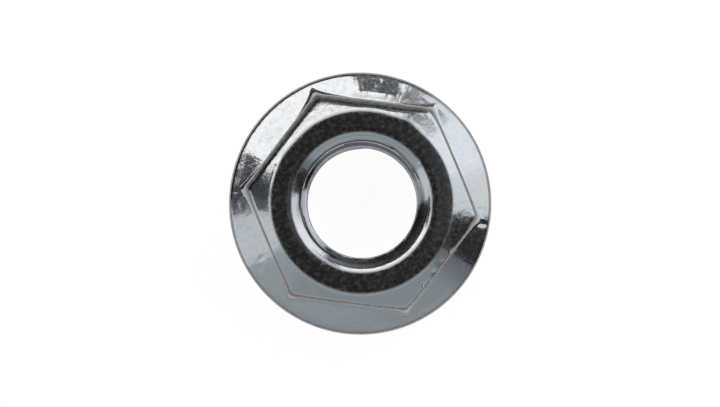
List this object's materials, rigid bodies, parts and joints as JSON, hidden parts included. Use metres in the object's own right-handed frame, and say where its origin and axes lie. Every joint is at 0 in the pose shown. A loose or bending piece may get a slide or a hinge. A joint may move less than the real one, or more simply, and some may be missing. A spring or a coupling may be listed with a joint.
{
  "type": "serrated flange nut",
  "caption": "Hexagon nut with a domed crown on a sloping round flange, with ratchet serrations round the underside and a threaded hole with a wide countersink.",
  "frame": {"origin": "on the thread axis, in the plane of the tooth crests that the nut bears on", "axes": "+Z along the thread axis, out of the top of the hexagon; +X and -X square to two of the hexagon's flats"},
  "size_m": [0.0188, 0.0188, 0.0086],
  "materials": {
    "zinc_plated_steel": "bright zinc plate, mirror-like with a fine grain"
  },
  "bodies": {
    "root": {"flange_nut": "zinc_plated_steel"}
  },
  "joints": []
}
